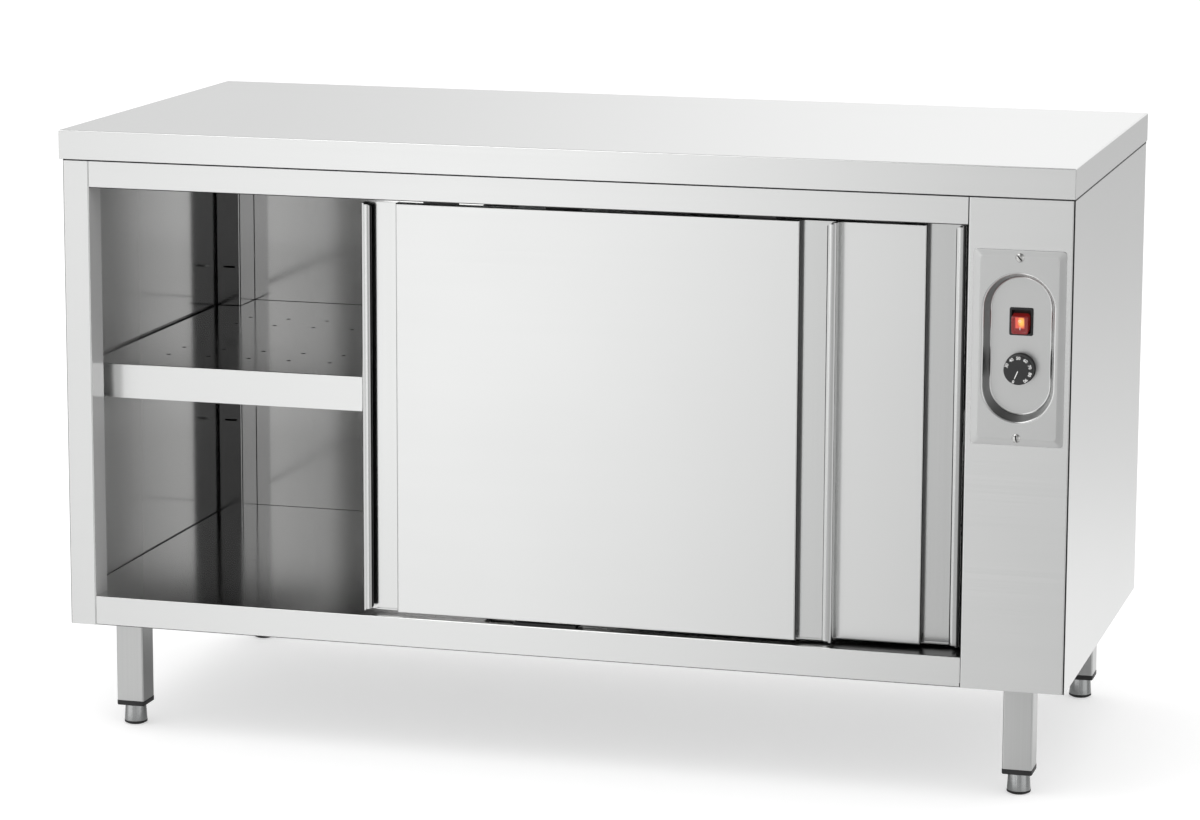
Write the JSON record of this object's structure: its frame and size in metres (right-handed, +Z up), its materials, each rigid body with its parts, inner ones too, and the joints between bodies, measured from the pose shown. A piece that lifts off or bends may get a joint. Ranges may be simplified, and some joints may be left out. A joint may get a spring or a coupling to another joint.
{
  "type": "plate warmer cabinet",
  "caption": "Heated stainless-steel plate cabinet on legs, with sliding doors, an inner shelf and a control column with knob and switch.",
  "frame": {"origin": "on the floor, below the middle of the worktop", "axes": "+X to the right seen from the front, +Y to the back (front is -Y), +Z up"},
  "size_m": [1.4, 0.65, 0.85],
  "materials": {
    "outer_steel": "satin",
    "chamber_steel": "bright",
    "galvanised_steel": "matte",
    "fitting_steel": "satin",
    "leg_steel": "satin",
    "foot_steel": "polished",
    "foot_plastic": "matte",
    "cap_plastic": "satin",
    "guide_plastic": "matte",
    "roller_plastic": "satin",
    "plate_steel": "satin",
    "switch_plastic": "satin",
    "lamp_plastic": "glossy",
    "thermostat_body": "matte",
    "knob_plastic": "satin",
    "element_steel": "heat-darkened",
    "fan_plastic": "matte",
    "motor_enamel": "satin",
    "terminal_ceramic": "matte",
    "gland_plastic": "satin"
  },
  "bodies": {
    "cabinet": {"worktop": "outer_steel", "worktop_stiffeners": "galvanised_steel", "left_side_panel": "outer_steel", "right_side_panel": "outer_steel", "back_panel": "chamber_steel", "floor_pan": "chamber_steel", "base_rails": "galvanised_steel", "top_rail": "outer_steel", "control_column": "outer_steel", "partition_wall": "chamber_steel", "rear_left_upright": "chamber_steel", "rear_right_upright": "chamber_steel", "shelf": "chamber_steel", "shelf_clips": "fitting_steel", "door_track": "fitting_steel", "bottom_guide": "guide_plastic", "guide_screws": "fitting_steel", "leg_front_left": "leg_steel", "leg_front_right": "leg_steel", "leg_rear_left": "leg_steel", "leg_rear_right": "leg_steel", "leg_caps": "cap_plastic", "control_plate": "plate_steel", "plate_screws": "fitting_steel", "switch_housing": "switch_plastic", "thermostat": "thermostat_body", "heater_box": "galvanised_steel", "heater_element": "element_steel", "fan_frame": "fan_plastic", "fan_motor": "motor_enamel", "terminal_block": "terminal_ceramic", "cable_gland": "gland_plastic"},
    "front_door": {"front_door_frame": "outer_steel", "front_door_panel": "outer_steel", "front_door_hangers": "fitting_steel"},
    "front_door_left_roller": {"front_door_roller_left": "roller_plastic"},
    "front_door_right_roller": {"front_door_roller_right": "roller_plastic"},
    "rear_door": {"rear_door_frame": "outer_steel", "rear_door_panel": "outer_steel", "rear_door_hangers": "fitting_steel"},
    "rear_door_left_roller": {"rear_door_roller_left": "roller_plastic"},
    "rear_door_right_roller": {"rear_door_roller_right": "roller_plastic"},
    "rocker": {"switch_rocker": "lamp_plastic"},
    "knob": {"temperature_knob": "knob_plastic", "thermostat_spindle": "fitting_steel"},
    "impeller": {"fan_impeller": "fan_plastic"},
    "foot_front_left_body": {"foot_front_left": "foot_steel", "foot_pad_front_left": "foot_plastic"},
    "foot_front_right_body": {"foot_front_right": "foot_steel", "foot_pad_front_right": "foot_plastic"},
    "foot_rear_left_body": {"foot_rear_left": "foot_steel", "foot_pad_rear_left": "foot_plastic"},
    "foot_rear_right_body": {"foot_rear_right": "foot_steel", "foot_pad_rear_right": "foot_plastic"}
  },
  "joints": [
    {"name": "front_door_slide", "type": "slide", "parent": "cabinet", "child": "front_door", "axis": [1, 0, 0], "range_m": [-0.387, 0.173]},
    {"name": "rear_door_slide", "type": "slide", "parent": "cabinet", "child": "rear_door", "axis": [1, 0, 0], "range_m": [-0.552, 0.008]},
    {"name": "front_door_left_roller_turn", "type": "hinge", "parent": "front_door", "child": "front_door_left_roller", "pos_m": [-0.162, -0.2955, 0.79], "axis": [0, 1, 0], "range_deg": [-2510, 1130]},
    {"name": "front_door_right_roller_turn", "type": "hinge", "parent": "front_door", "child": "front_door_right_roller", "pos_m": [0.275, -0.2955, 0.79], "axis": [0, 1, 0], "range_deg": [-2510, 1130]},
    {"name": "rear_door_left_roller_turn", "type": "hinge", "parent": "rear_door", "child": "rear_door_left_roller", "pos_m": [0.003, -0.2725, 0.79], "axis": [0, 1, 0], "range_deg": [-3570, 70]},
    {"name": "rear_door_right_roller_turn", "type": "hinge", "parent": "rear_door", "child": "rear_door_right_roller", "pos_m": [0.44, -0.2725, 0.79], "axis": [0, 1, 0], "range_deg": [-3570, 70]},
    {"name": "switch_tip", "type": "hinge", "parent": "cabinet", "child": "rocker", "pos_m": [0.6289, -0.292, 0.6445], "axis": [-1, 0, 0], "range_deg": [0, 20]},
    {"name": "temperature_turn", "type": "hinge", "parent": "cabinet", "child": "knob", "pos_m": [0.6289, -0.3, 0.583], "axis": [0, -1, 0], "range_deg": [0, 300]},
    {"name": "fan_spin", "type": "hinge", "parent": "cabinet", "child": "impeller", "pos_m": [0.58, 0.0606, 0.56], "axis": [1, 0, 0], "continuous": true},
    {"name": "foot_front_left_height", "type": "slide", "parent": "cabinet", "child": "foot_front_left_body", "axis": [0, 0, -1], "range_m": [0, 0.02]},
    {"name": "foot_front_right_height", "type": "slide", "parent": "cabinet", "child": "foot_front_right_body", "axis": [0, 0, -1], "range_m": [0, 0.02]},
    {"name": "foot_rear_left_height", "type": "slide", "parent": "cabinet", "child": "foot_rear_left_body", "axis": [0, 0, -1], "range_m": [0, 0.02]},
    {"name": "foot_rear_right_height", "type": "slide", "parent": "cabinet", "child": "foot_rear_right_body", "axis": [0, 0, -1], "range_m": [0, 0.02]}
  ],
  "couplings": [
    {"joint": "front_door_left_roller_turn", "follows": "front_door_slide", "rad_per_m": 112.36},
    {"joint": "front_door_right_roller_turn", "follows": "front_door_slide", "rad_per_m": 112.36},
    {"joint": "rear_door_left_roller_turn", "follows": "rear_door_slide", "rad_per_m": 112.36},
    {"joint": "rear_door_right_roller_turn", "follows": "rear_door_slide", "rad_per_m": 112.36}
  ]
}
